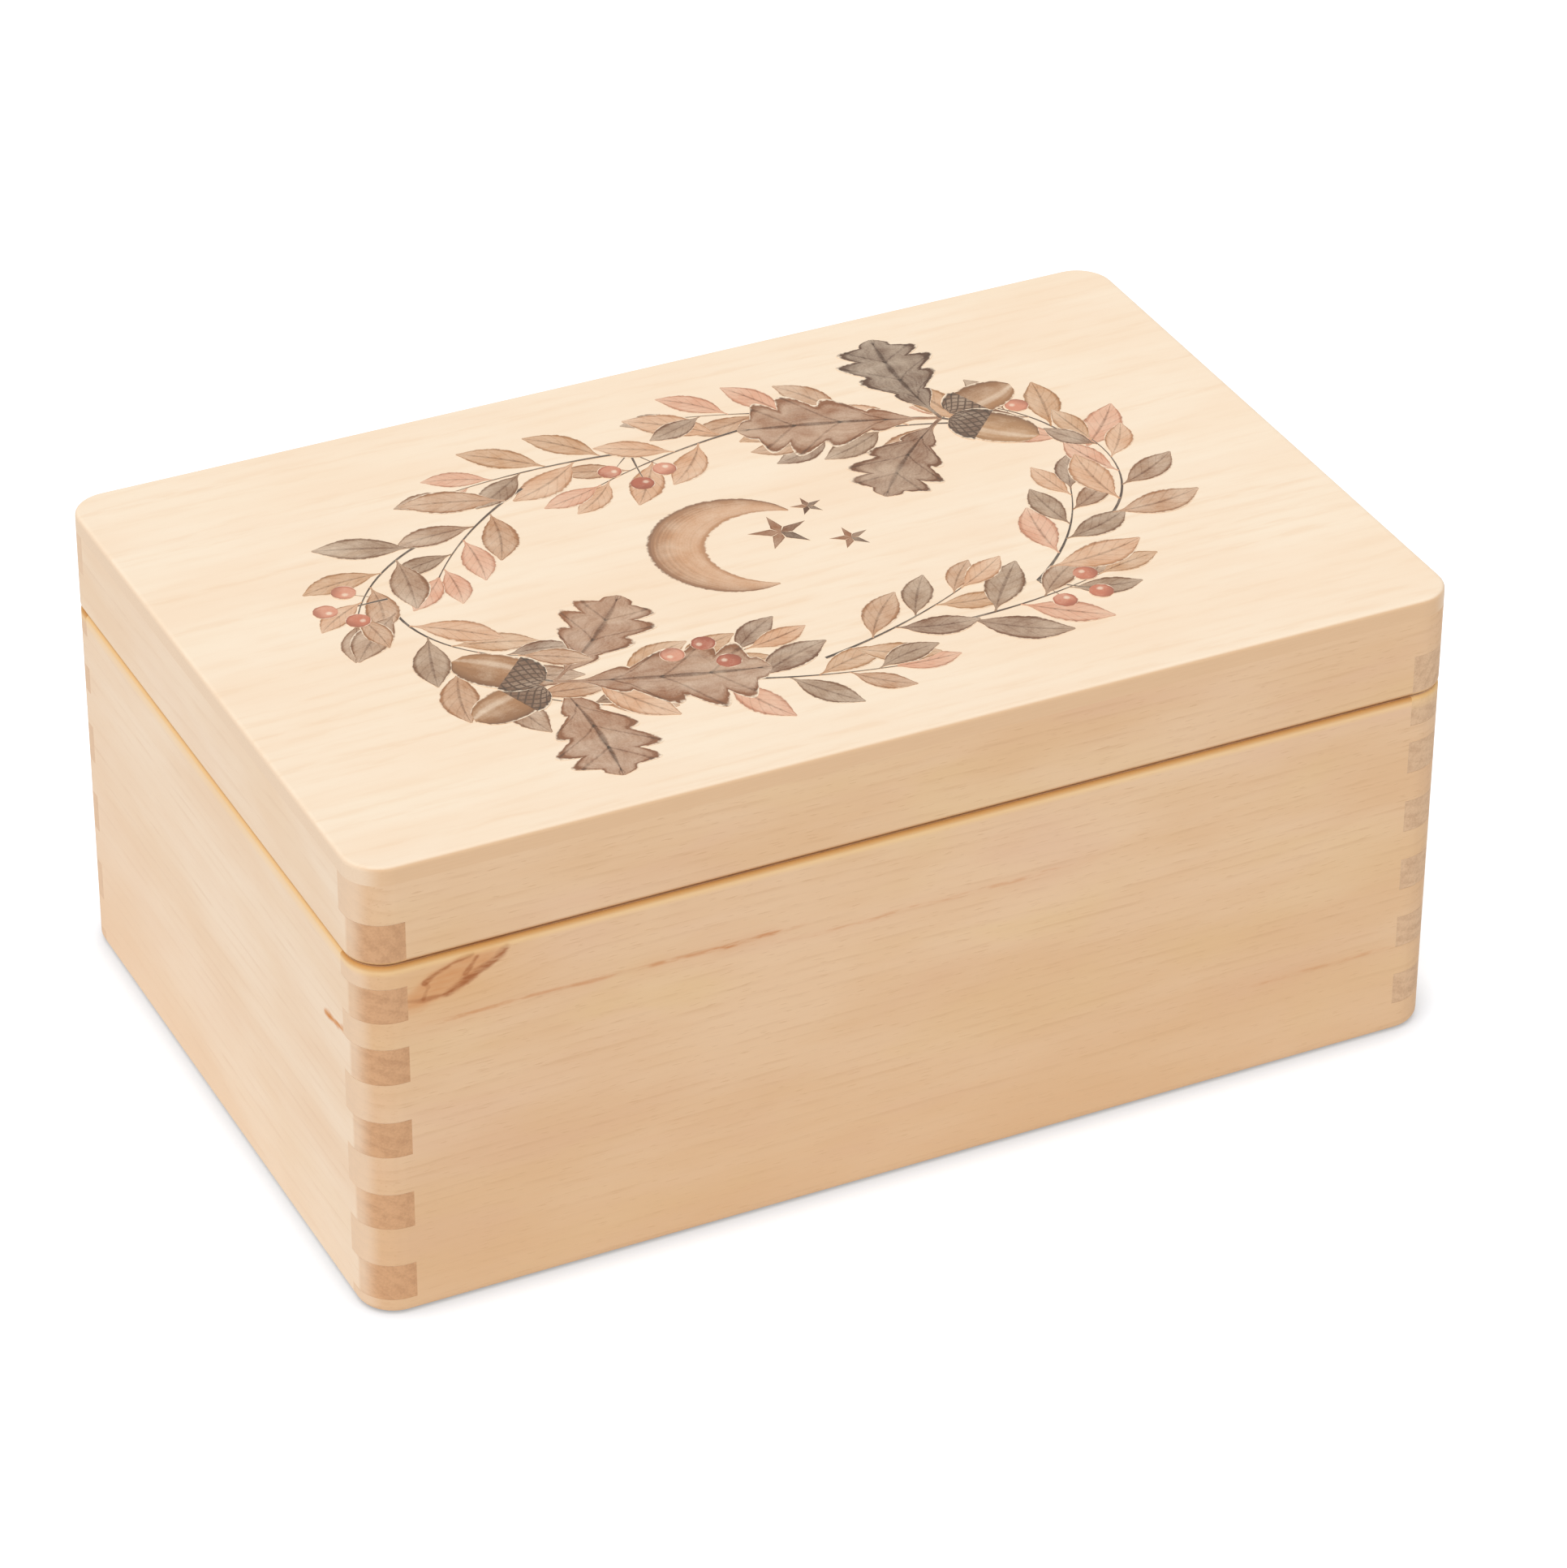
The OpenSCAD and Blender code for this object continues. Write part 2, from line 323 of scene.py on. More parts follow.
class Board:
    """The wood of one board, worked out in all three dimensions from its place in the box.

    along is the axis of the grain. pith is where the heart of the tree was, as a height and
    a depth in millimetres. spacing is the width of a growth ring, wave how far the rings
    sway, bold how strong they are, and lines says where within a ring the late wood starts,
    is darkest, and stops. ends is the strength of the end grain, and end_tone its colour.
    """

    def __init__(self, name, along, pith, spacing, seed, wave=4.0, bold=0.3, ends=1.0,
                 end_tone=END, lines=(0.5, 0.86, 0.9), knots=()):
        self.finish = Finish(name)
        self.place = self.finish.place()
        self.facing = self.finish.facing()
        self.along = along
        self.seed = seed
        self.bold = bold
        self.ends = ends
        self.end_tone = end_tone
        self.u = self.place[along] + seed * SEED_ALONG
        self.v = self.place[2] + seed * SEED_UP
        self.w = self.place[1 - along]
        self.knots = [Knot(self, *knot) for knot in knots]
        self.grow(pith, spacing, wave, lines)

    def noise(self, size, **settings):
        """Noise with features of this size along the grain, up, and through the board."""
        length, height, depth = size
        return self.finish.noise(self.u / length, self.v / height, self.w / depth, **settings)

    def grow(self, pith, spacing, wave, lines):
        """Growth rings: sharp, broken lines of late wood on an even ground of early wood."""
        start, darkest, stop = lines
        across = self.place[2] - pith[0]
        for knot in self.knots:
            across = across + knot.push
        through = self.w - pith[1]
        radius = (across * across + through * through).root()
        sweep = self.noise(SWEEP, detail=1.0) - 0.5
        ripple = self.noise(RIPPLE) - 0.5
        phase = (radius + sweep * wave * 2 + ripple * wave * 0.4) / spacing
        self.part = phase.fraction()
        chance = self.finish.chance(phase.floor() + self.seed)
        late = self.part.rise(start, darkest) * (1 - self.part.rise(stop, 1.0))
        broken = self.noise(RING_BREAKS, detail=3.0).rise(0.4, 0.66)
        self.rings = late * (chance * 0.75 + 0.25) * (broken * 0.86 + 0.14)

    def colour(self, tones):
        """Long grain: mottled early wood, rings, fibres and short dark dashes."""
        mix = self.finish.mix
        mottle = self.noise(MOTTLE, detail=3.0, roughness=0.6).rise(0.3, 0.7)
        cloud = self.noise(CLOUD, warp=0.6)
        self.fibre = self.noise(FIBRE)
        dash = self.noise(DASH, detail=1.0).rise(0.62, 0.74)
        shade = mix(mottle, tones["pale"], tones["deep"])
        shade = mix(cloud.rise(0.52, 0.75) * tones["cloud"], shade, PINKISH)
        shade = mix((1 - cloud).rise(0.52, 0.75) * tones["cloud"], shade, YELLOWISH)
        shade = mix(self.rings * self.bold, shade, tones["line"])
        shade = mix((self.fibre - 0.5) * 0.2 + dash * tones["dash"], shade, tones["line"])
        for knot in self.knots:
            shade = knot.paint(shade)
        return shade

    def end_grain(self, shade):
        """End grain, darker, with pores and the curve of the rings."""
        pores = self.noise(PORES, detail=3.0, roughness=0.7)
        blotch = self.noise(BLOTCH).rise(0.35, 0.7)
        lines = self.part.rise(0.15, 0.85) * (1 - self.part.rise(0.92, 1.0))
        dark = lines * 0.1 + blotch * 0.16 + (pores - 0.5) * 0.7
        grey = self.finish.mix(dark, self.end_tone, END_DARK)
        square = self.facing[self.along]
        self.end_mask = (square.rise(0.1, 0.25) * 0.4 + square.rise(0.3, 0.75) * 0.6) * self.ends
        self.pores = pores * self.end_mask
        return self.finish.mix(self.end_mask, shade, grey)

    def streak(self, shade, start, stop, height, colour, strength):
        """A fine broken line, from start to stop along the grain."""
        drift = (self.noise(STREAK_DRIFT) - 0.5) * 3.0
        off = abs(self.place[2] - height + drift)
        broken = self.noise(STREAK_BREAKS, detail=3.0).rise(0.38, 0.64) * 0.9 + 0.1
        soft = (stop - start) * 0.2
        reach = self.place[self.along].bump(start + soft, stop - soft, soft)
        line = 1 - off.rise(0.0, 1.0)
        glow = 1 - off.rise(0.0, 4.0)
        mask = (line * broken + glow * 0.14) * reach * strength
        return self.finish.mix(mask, shade, colour)

    def stroke(self, shade, points, thick, colour, strength):
        """A soft stroke along a line of points on the face of the board."""
        across, up = self.place[self.along], self.place[2]
        far = None
        for (x0, z0), (x1, z1) in zip(points, points[1:]):
            run, rise = x1 - x0, z1 - z0
            part = ((across - x0) * run + (up - z0) * rise) / (run * run + rise * rise)
            part = part.least(1.0).most(0.0)
            east, north = across - x0 - part * run, up - z0 - part * rise
            near = (east * east + north * north).root()
            far = near if far is None else far.least(near)
        uneven = (self.noise(STROKE_EDGE, detail=3.0) - 0.5) * thick * 2.6
        broken = self.noise(STROKE_BREAKS, detail=3.0).rise(0.3, 0.62) * 0.55 + 0.45
        mask = (1 - (far + uneven).rise(thick * 0.2, thick * 1.5)) * broken * strength
        return self.finish.mix(mask, shade, colour)

    def painted_rim_light_and_shade(self, shade, rim, bands):
        """Painted light and shade in bands along the outer edge of a rim, where the seam between
        lid and base glows amber and darkens, and none on its flat.
        """
        away = abs(self.place[2] - rim)
        edge = 1 - self.facing[2].rise(0.94, 0.998)
        for start, stop, colour, strength in bands:
            shade = self.finish.mix((1 - away.rise(start, stop)) * edge * strength, shade, colour)
        return shade

    def paint_side_light_on_ends(self, shade):
        """Painted light: the ends of a long board, which face the sides, nearly as pale as the
        side boards round them.
        """
        return self.finish.mix(self.facing[0].rise(0.6, 0.9) * 0.85, shade, SIDE_MEAN)

    def close(self, shade):
        roughness = 0.6 + (self.fibre - 0.5) * 0.12 - self.rings * 0.05 + self.end_mask * 0.12
        height = self.fibre * 0.5 + self.rings * 0.4 - self.pores * 0.9
        matt = {"Specular IOR Level": 0.25}
        return self.finish.surface(shade, roughness, height, GRAIN_DEPTH, matt)


class Knot:
    """A grown-in branch: an oval heart in a warm halo. A ringed one has rings of bark."""

    # Squares of half the length and half the height of the halo
    HALO_LENGTH = 900
    HALO_HEIGHT = 260

    def __init__(self, board, across, up, tilt, half_length, half_width, ringed):
        self.board = board
        self.ringed = ringed
        east = board.place[board.along] - across
        north = board.place[2] - up
        cos, sin = math.cos(math.radians(tilt)), math.sin(math.radians(tilt))
        uneven = board.noise(KNOT_EDGE) - 0.5
        length = (east * cos + north * sin) / half_length
        width = (north * cos - east * sin) / half_width + uneven * 0.9
        self.ring = (length * length + width * width).root()
        far = (east * east / self.HALO_LENGTH + north * north / self.HALO_HEIGHT).root()
        self.near = 1 - far.rise(0.0, 1.3)
        self.push = self.near * half_width * 1.3

    def paint(self, shade):
        board = self.board
        mix = board.finish.mix
        fibre = board.noise(KNOT_FIBRE, detail=3.0)
        inside = 1 - self.ring.rise(0.6, 1.25)
        shade = mix(self.near * 0.45, shade, KNOT_HALO)
        shade = mix(inside * (0.65 + (fibre - 0.5) * 0.9), shade, KNOT_HEART)
        if not self.ringed:
            return shade
        bark = board.noise(KNOT_BARK, detail=3.0, roughness=0.6)
        edge = self.ring.bump(0.93, 1.03, 0.2) * bark.rise(0.36, 0.56)
        inner = self.ring.bump(0.40, 0.52, 0.16) * bark.rise(0.48, 0.6)
        return mix(edge * 0.6 + inner * 0.4, shade, BARK)


# ---- The boards of the base ----

# Knots: place along X and up, tilt in degrees, half the length and width, and rings or not
FRONT_KNOT = (-126.5, 95.8, 25, 16.0, 4.6, False)
BACK_KNOT = (58.0, 41.0, -14, 7.0, 4.6, True)
# Streaks of resin on the front board: start and stop along X, height, and strength
FRONT_STREAKS = [
    (-138, -76, 84.0, 0.45),
    (-84, -30, 83.5, 0.5),
    (-60, -38, 83.5, 0.6),
    (-44, 52, 80.0, 0.35),
    (92, 140, 27.0, 0.3),
]
# Strokes of bark round the front knot: points along X and up, thickness, and strength
KNOT_STROKES = [
    ([(-133.5, 96.0), (-130.5, 97.8), (-126.2, 99.6), (-121.0, 100.8)], 0.7, 0.75),
    ([(-134.0, 91.6), (-132.6, 94.5), (-133.5, 96.0)], 0.5, 0.5),
    ([(-139.8, 92.1), (-134.0, 91.3), (-127.9, 91.4)], 0.6, 0.5),
    ([(-127.9, 91.4), (-123.2, 93.7), (-118.7, 95.7), (-114.9, 97.8), (-112.1, 99.8)], 1.1, 0.8),
    ([(-122.8, 95.8), (-119.9, 99.6)], 0.7, 0.6),
]
# The stroke of bark on the left board: its points along Y and up, and its thickness
LEFT_STROKE = [(-74.0, 78.3), (-89.0, 80.2)]
LEFT_STROKE_THICK = 1.1


def front_board():
    """Its top left corner holds a knot that the rim cuts through, with streaks to its right."""
    board = Board(
        "front pine", ALONG_X, pith=(-190, -40), spacing=3.1, seed=1.0, ends=0.25, bold=0.26,
        knots=[FRONT_KNOT])
    shade = board.colour(FRONT)
    # Painted shade: darker towards the foot of the board
    foot = (1 - board.place[2].rise(10, 85)) * 0.35
    shade = board.finish.mix(foot, shade, FRONT_FOOT_SHADE)
    for start, stop, height, strength in FRONT_STREAKS:
        shade = board.streak(shade, start, stop, height, RESIN, strength)
    for points, thick, strength in KNOT_STROKES:
        shade = board.stroke(shade, points, thick, BARK, strength)
    shade = board.end_grain(board.paint_side_light_on_ends(shade))
    return board.close(board.painted_rim_light_and_shade(shade, BASE_TOP, FRONT["base_rim_light_and_shade"]))


def back_board():
    board = Board(
        "back pine", ALONG_X, pith=(230, 60), spacing=3.6, seed=2.0, ends=0.4, knots=[BACK_KNOT])
    shade = board.end_grain(board.paint_side_light_on_ends(board.colour(FRONT)))
    return board.close(board.painted_rim_light_and_shade(shade, BASE_TOP, FRONT["base_rim_light_and_shade"]))


def left_board():
    """Painted shade, deeper towards its low back corner, with a stroke of bark near its front."""
    board = Board("left pine", ALONG_Y, pith=(-40, -190), spacing=3.4, seed=5.0)
    shade = board.colour(SIDE)
    # Painted shade towards the low back corner
    foot = (1 - board.place[2].rise(0, 75)) * board.place[1].rise(-40, 80) * 0.5
    shade = board.finish.mix(foot, shade, SIDE_FOOT_SHADE)
    shade = board.stroke(shade, LEFT_STROKE, LEFT_STROKE_THICK, ORANGE_BARK, 0.95)
    shade = board.end_grain(shade)
    return board.close(board.painted_rim_light_and_shade(shade, BASE_TOP, SIDE["base_rim_light_and_shade"]))


def right_board():
    board = Board(
        "right pine", ALONG_Y, pith=(190, 180), spacing=3.0, seed=6.0, bold=0.22,
        end_tone=END_PALE)
    shade = board.end_grain(board.colour(SIDE))
    return board.close(board.painted_rim_light_and_shade(shade, BASE_TOP, SIDE["base_rim_light_and_shade"]))


def bottom_panel():
    board = Board("bottom plywood", ALONG_X, pith=(-50, 10), spacing=5.0, seed=10.0)
    return board.close(board.end_grain(board.colour(TOP)))


# ---- The boards of the lid ----


def long_rail(name, pith, spacing, seed):
    board = Board(name, ALONG_X, pith, spacing, seed, ends=0.25, bold=0.22)
    shade = board.end_grain(board.paint_side_light_on_ends(board.colour(FRONT)))
    return board.close(board.painted_rim_light_and_shade(shade, LID_BOTTOM, FRONT["lid_rim_light_and_shade"]))


def short_rail(name, pith, spacing, seed, end_tone):
    board = Board(name, ALONG_Y, pith, spacing, seed, bold=0.22, end_tone=end_tone)
    shade = board.end_grain(board.colour(SIDE))
    return board.close(board.painted_rim_light_and_shade(shade, LID_BOTTOM, SIDE["lid_rim_light_and_shade"]))


def lid_board(name):
    """The wood of the lid's top panel, with broad and soft rings."""
    return Board(
        name, ALONG_X, pith=(60, 330), spacing=5.6, seed=9.0, wave=7.0, bold=0.5, ends=0.0,
        lines=(0.0, 0.55, 0.6))


def lid_colour(board):
    """Pale on top, with painted shade on its upright edge, in the tone of the front rails where it
    faces front or back and of the side rails where it faces the sides.
    """
    finish = board.finish
    shade = board.colour(TOP)
    upright = 1 - board.facing[2].rise(0.45, 0.95)
    edge = finish.mix(board.facing[0].rise(0.3, 0.8), FRONT_MEAN, SIDE_MEAN)
    edge = finish.mix(board.fibre * 0.2, edge, FRONT["line"])
    return finish.mix(upright, shade, edge)


def lid_panel():
    board = lid_board("lid pine")
    return board.close(board.end_grain(lid_colour(board)))


def dress_boards():
    looks = {
        "base_front_board": front_board(),
        "base_back_board": back_board(),
        "lid_front_rail": long_rail("front rail pine", pith=(-60, -10), spacing=2.7, seed=3.0),
        "lid_back_rail": long_rail("back rail pine", pith=(260, 30), spacing=3.0, seed=4.0),
        "base_left_board": left_board(),
        "base_right_board": right_board(),
        "lid_left_rail": short_rail("left rail pine", (60, -220), 3.0, 7.0, END),
        "lid_right_rail": short_rail("right rail pine", (60, 210), 3.0, 8.0, END_PALE),
        "lid_top_panel": lid_panel(),
        "base_bottom_panel": bottom_panel(),
    }
    for name, material in looks.items():
        nodes[name].data.materials[0] = material


# ---- The print on the lid: a wreath of twigs with oak leaves, acorns and berries, a moon
# ---- and stars, in thin layers of ink. Sizes are in millimetres and angles in degrees.

# The wreath is an oval of twigs. They reach past each other, and lean in and out by turns
WREATH_X = 98.0
WREATH_Y = 57.0
TWIGS = 15
TWIG_REACH = 1.5
TWIG_LEAN = 13
WREATH_SEED = 3
# The leaves along a twig: their length, how far they stand off, and how they curl
TWIG_LEAVES = 6
LEAF_LENGTH = 25
LEAF_SPREAD = 56
LEAF_SPREAD_LOSS = 22
LEAF_SPREAD_CHANCE = 6
LEAF_CURL = (8, 30)
TIP_CURL = 14
# The berries on every third twig, and the angle and length of each stalk
BERRY_SIZE = 6.5
BERRY_LEAN = 70
STALKS = [(-34, 9), (4, 14), (38, 10)]
# The two sprays, by their places on the oval
SPRAY_TURNS = (222, 42)
SPRAY_LEAN = 10
# Oak leaves in a spray: angle, length and bend
OAK_LEAVES = [(-62, 46, -16), (58, 44, 18), (0, 54, 10)]
# Acorns in a spray: angle, distance and length
ACORNS = [(222, 5, 21), (158, 4, 23)]
# The moon: its length round the curve, how far it turns, and the heading of its root
MOON_LENGTH = 78
MOON_TURN = 226
MOON_HEADING = 128
# Stars: place, and length of a ray
STARS = [(9, 3, 8.5), (24, -7, 5.5), (21, 12, 4.5)]
STAR_RAYS = 5

# How far the ink lies above the wood, and how much more for each layer and each copy
INK_LIFT = 0.03
LAYER_LIFT = 0.05
STEP_LIFT = 0.012
LIFT_STEPS = 4
COPY_LIFT = 0.0005
INK_SINK = 0.01

INK_MAP = "ink"
MAP_MARGIN = 0.01
# Half the width of a pointed tip and of a leaf's stalk, for a shape one unit long
POINTED = 0.004
STALK = 0.012
# A bend of fewer degrees than this is left straight
LEAST_BEND = 1

LEAF_TONES = [
    tone(122, 76, 46),
    tone(182, 124, 80),
    tone(148, 98, 62),
    tone(212, 152, 108),
    tone(134, 92, 60),
    tone(194, 136, 86),
    tone(222, 154, 120),
]
LEAF_SHADE = tone(80, 48, 30)
OAK_TONES = [tone(92, 56, 34), tone(126, 78, 48), tone(152, 96, 60)]
OAK_SHADE = tone(48, 29, 18)
MOON_TONES = [tone(198, 146, 104), tone(206, 152, 110)]
MOON_SHADE = tone(120, 84, 62)
NUT_TONES = [tone(186, 140, 98), tone(172, 124, 84)]
NUT_SHADE = tone(112, 74, 48)
CAP_TONES = [tone(108, 80, 62), tone(122, 90, 68)]
CAP_SHADE = tone(56, 40, 32)
BERRY_TONES = [tone(204, 122, 94), tone(182, 100, 76), tone(218, 144, 116)]
BERRY_SHADE = tone(122, 62, 46)
TWIG_TONES = [tone(64, 52, 46), tone(78, 62, 54)]
TWIG_SHADE = tone(46, 38, 34)


def pick_points(shape, test):
    grid = bmesh.from_edit_mesh(shape.data)
    for point in grid.verts:
        point.select = test(point.co)
    grid.select_flush_mode()
    bmesh.update_edit_mesh(shape.data)


def flat_shape(name, columns, outline, sweep=0.0):
    """A flat shape, one unit long, from its root at 0 to its tip at 1 on the X axis.

    outline gives half its width at each place, and sweep draws its sides towards the tip.
    """
    bpy.ops.object.select_all(action="DESELECT")
    bpy.ops.mesh.primitive_grid_add(
        x_subdivisions=columns, y_subdivisions=2, size=1, location=(0.5, 0, 0))
    bpy.ops.object.transform_apply(location=True)
    shape = bpy.context.object
    shape.name = name
    shape.data.uv_layers.active.name = INK_MAP
    near = 0.2 / columns
    bpy.ops.object.mode_set(mode="EDIT")
    for column in range(columns, -1, -1):
        along = column / columns
        half = max(outline(along), POINTED)
        pick_points(shape, lambda point: abs(point.x - along) < near)
        bpy.ops.transform.resize(value=(1, 2 * half, 1), center_override=(along, 0, 0))
        pick_points(shape, lambda point: abs(point.x - along) < near and abs(point.y) > half / 2)
        bpy.ops.transform.translate(value=(sweep * (half - POINTED) * (1 - along**6), 0, 0))
    bpy.ops.object.mode_set(mode="OBJECT")
    return shape


# Outlines: half the width of a shape at each place along it


def leaf_outline(along):
    blade = (max(along - 0.1, 0) / 0.9) ** 0.85
    return max(0.21 * math.sin(math.pi * blade) ** 0.9, STALK)


def oak_outline(along):
    """A leaf with four and a half lobes on each side."""
    blade = max(along - 0.12, 0) / 0.88
    body = 0.3 * math.sin(math.pi * blade**1.25) ** 0.75
    lobes = 0.55 + 0.45 * abs(math.sin(math.pi * 4.5 * blade)) ** 0.8
    return max(body * lobes, STALK)


def nut_outline(along):
    swell = math.sqrt(max(0, 1 - (1.9 * along - 0.9) ** 2)) if along < 0.93 else 0.04
    return 0.34 * swell


def cap_outline(along):
    return 0.9 * math.sqrt(max(0, 1 - along**2)) if along > 0.12 else 0.86


def berry_outline(along):
    return 0.5 * math.sqrt(max(0, 1 - (2 * along - 1) ** 2))


def twig_outline(along):
    return 0.011 * (1 - 0.75 * along)


def moon_outline(along):
    return 0.1 * math.sin(math.pi * along) ** 0.8


def ray_outline(along):
    return 0.2 * min(along / 0.3, (1 - along) / 0.7)


class Stencil:
    """Copies of one flat shape, laid on the lid as one layer of the print."""

    def __init__(self, shape, layer):
        self.shape = shape
        self.layer = layer
        self.copies = []

    def put(self, x, y, angle, length, bend=0.0, width=1.0):
        """A copy with its root at x, y that sets off at angle and turns by bend on its way."""
        count = len(self.copies)
        copy = self.shape.copy()
        copy.data = self.shape.data.copy()
        bpy.context.collection.objects.link(copy)
        copy.data.transform(Matrix.Diagonal((1.0, width, 1.0, 1.0)))
        self.curl(copy, bend)
        for corner in copy.data.uv_layers[INK_MAP].data:
            corner.uv.x = corner.uv.x * (1 - 2 * MAP_MARGIN) + MAP_MARGIN + count
        step = STEP_LIFT * (count % LIFT_STEPS) + COPY_LIFT * count
        height = LID_TOP + INK_LIFT + LAYER_LIFT * self.layer + step
        place = Matrix.Translation(Vector((x, y, height)) * MM)
        turn = Matrix.Rotation(math.radians(angle), 4, "Z")
        copy.data.transform(place @ turn @ Matrix.Diagonal((length * MM, length * MM, 1.0, 1.0)))
        self.copies.append(copy)

    @staticmethod
    def curl(copy, bend):
        if abs(bend) < LEAST_BEND:
            return
        bpy.context.view_layer.objects.active = copy
        deform = copy.modifiers.new("bend", "SIMPLE_DEFORM")
        deform.deform_method = "BEND"
        deform.deform_axis = "Z"
        deform.angle = math.radians(bend)
        bpy.ops.object.modifier_apply(modifier=deform.name)

    def print_on_lid(self, name, material):
        """Joins the copies, and gives them a thickness that reaches just into the wood."""
        bpy.ops.object.select_all(action="DESELECT")
        for copy in self.copies:
            copy.select_set(True)
        piece = self.copies[0]
        bpy.context.view_layer.objects.active = piece
        if len(self.copies) > 1:
            bpy.ops.object.join()
        bpy.ops.object.mode_set(mode="EDIT")
        bpy.ops.mesh.select_all(action="SELECT")
        bpy.ops.mesh.extrude_region_move()
        foot = (0, 0, (LID_TOP - INK_SINK) * MM)
        bpy.ops.transform.resize(value=(1, 1, 0), center_override=foot)
        bpy.ops.mesh.select_all(action="SELECT")
        bpy.ops.mesh.normals_make_consistent(inside=False)
        bpy.ops.object.mode_set(mode="OBJECT")
        piece.name = name
        piece.data.materials.clear()
        piece.data.materials.append(material)
        bpy.data.objects.remove(self.shape)
        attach(piece, "lid")


class Ink:
    """Water colour on bare wood: the wood of the lid, with ink that dries over it.

    Every copy of a shape has its own unit of the ink map, which gives its number. along runs
    from its root to its tip, and across from -1 to 1 between its two sides.
    """

    def __init__(self, name, tones, shade):
        self.board = lid_board(name)
        self.finish = self.board.finish
        self.wood = lid_colour(self.board)
        run, across, _ = self.finish.split(self.finish.add("UVMap", {"uv_map": INK_MAP}))
        self.along = run.fraction()
        self.number = run.floor()
        self.across = across * 2 - 1
        self.side = abs(self.across)
        self.shade = shade
        chance = self.finish.chance(self.number + 0.5)
        self.tone = self.finish.add("ValToRGB", {"steps": tones}, {0: chance})
        x, y, _ = self.board.place
        self.wash = self.finish.noise(x / 8, y / 8, self.number * 3.7, detail=3.0, roughness=0.6)
        self.speckle = self.finish.noise(x / 0.5, y / 0.5, 0.0)
        self.wobble = self.finish.noise(x / 1.6, y / 1.6, 5.0)

    def hairs(self, fine):
        """Fine brush hairs that run along the shape."""
        return self.finish.noise(self.along * 2, self.across * fine, self.number * 7.3) - 0.5

    def dry(self, dark, cover, soft=0.1):
        """dark is where the shade gathers, and cover how much of the wood the ink hides."""
        finish = self.finish
        edge = self.side.rise(0.66, 0.95) * 0.35
        inked = finish.mix((dark + edge).least(1.0), self.tone, self.shade)
        reach = 1 - (self.side + (self.wobble - 0.5) * 0.24).rise(1 - soft, 1.0)
        thick = cover + dark * 0.3 + edge
        thick = thick + (self.wash - 0.5) * 0.8 + (self.speckle - 0.5) * 0.3
        amount = thick.most(0.15).least(0.94) * reach
        return self.board.close(self.board.end_grain(finish.mix(amount, self.wood, inked)))


def leaf_ink():
    ink = Ink("leaf ink", LEAF_TONES, LEAF_SHADE)
    rib = 1 - ink.side.rise(0.03, 0.12)
    vein = (ink.along * 7 - ink.side * 1.5).fraction()
    vein = 1 - abs(vein - 0.5).rise(0.04, 0.12)
    return ink.dry(rib * 0.45 + vein * 0.2 + ink.hairs(9) * 0.5, 0.74 - ink.along * 0.2)


def oak_ink():
    ink = Ink("oak leaf ink", OAK_TONES, OAK_SHADE)
    rib = 1 - ink.side.rise(0.02, 0.09)
    vein = (ink.along * 4.5 - ink.side * 0.6 + 0.3).fraction()
    vein = 1 - abs(vein - 0.5).rise(0.02, 0.07)
    return ink.dry(rib * 0.6 + vein * 0.35 + ink.hairs(14) * 0.8, 0.78 - ink.along * 0.15)


def nut_ink():
    ink = Ink("acorn ink", NUT_TONES, NUT_SHADE)
    round_side = ink.across.rise(-0.2, 1.0) * 0.5
    gleam = 1 - abs(ink.across + 0.35).rise(0.05, 0.25)
    return ink.dry(round_side + ink.hairs(6) * 0.5, 0.85 - gleam * 0.35)


def cap_ink():
    """Scales, as a net of crossing lines."""
    ink = Ink("acorn cap ink", CAP_TONES, CAP_SHADE)
    one_way = abs((ink.along * 3 + ink.across * 3).fraction() - 0.5).rise(0.3, 0.5)
    other_way = abs((ink.along * 3 - ink.across * 3).fraction() - 0.5).rise(0.3, 0.5)
    return ink.dry(one_way.most(other_way) * 0.8, 0.86)


def berry_ink():
    ink = Ink("berry ink", BERRY_TONES, BERRY_SHADE)
    east, north = ink.along - 0.4, ink.across - 0.3
    gleam = 1 - (east * east * 4 + north * north).root().rise(0.1, 0.35)
    return ink.dry(ink.along.rise(0.5, 1.0) * 0.5, 0.85 - gleam * 0.6)


def twig_ink():
    ink = Ink("twig ink", TWIG_TONES, TWIG_SHADE)
    return ink.dry(ink.hairs(3) * 0.5, 0.9, soft=0.3)


def star_ink():
    ink = Ink("star ink", OAK_TONES, OAK_SHADE)
    return ink.dry(ink.along * 0.2, 0.8)


def moon_ink():
    ink = Ink("moon ink", MOON_TONES, MOON_SHADE)
    outside = (0 - ink.across).rise(-0.2, 0.9) * 0.5
    return ink.dry(outside + ink.hairs(12) * 0.7, 0.72)


def wreath_point(degrees):
    """A point of the oval, and the way in which the oval runs there."""
    turn = math.radians(degrees)
    x = WREATH_X * math.cos(turn)
    y = WREATH_Y * math.sin(turn)
    heading = math.degrees(math.atan2(WREATH_Y * math.cos(turn), -WREATH_X * math.sin(turn)))
    return x, y, heading


def even_turns(count):
    """Angles that cut the oval into stretches of equal length, to half a degree."""
    fine = [wreath_point(half_degrees / 2) for half_degrees in range(2 * 360 + 1)]
    length = [0.0]
    for here, there in zip(fine, fine[1:]):
        length.append(length[-1] + math.dist(here[:2], there[:2]))
    turns = []
    for n in range(count + 1):
        reached = [i for i, far in enumerate(length) if far >= length[-1] * n / count - 1e-6]
        turns.append(reached[0] / 2)
    return turns


def ahead(x, y, angle, distance):
    """The point that lies at a distance from x, y in the direction of an angle."""
    heading = math.radians(angle)
    return x + distance * math.cos(heading), y + distance * math.sin(heading)


